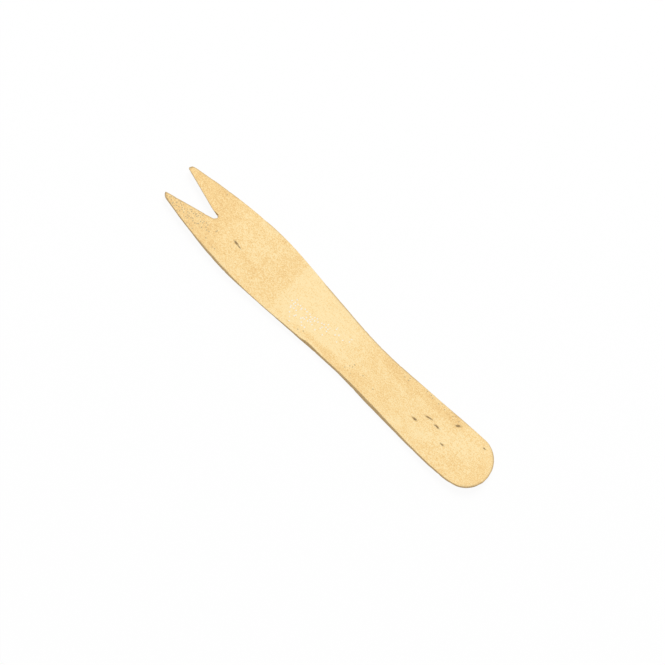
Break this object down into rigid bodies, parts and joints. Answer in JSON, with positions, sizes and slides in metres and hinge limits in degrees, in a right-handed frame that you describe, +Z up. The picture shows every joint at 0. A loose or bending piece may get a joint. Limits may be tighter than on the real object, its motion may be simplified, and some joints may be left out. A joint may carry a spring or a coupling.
{
  "type": "wooden chip fork",
  "caption": "Flat disposable chip fork of thin birch veneer: a V notch between two short tines, a slim waist and a rounded handle end.",
  "frame": {"origin": "on the table, under the middle of the fork's footprint", "axes": "+X runs along the fork from the tine tips to the rounded end of the handle, +Z up out of its upper face"},
  "size_m": [0.085, 0.0136, 0.0021],
  "materials": {
    "birch_veneer": "bare sliced veneer, matt to satin, with fine pores and a few brown pith flecks"
  },
  "bodies": {
    "root": {"chip_fork": "birch_veneer"}
  },
  "joints": []
}
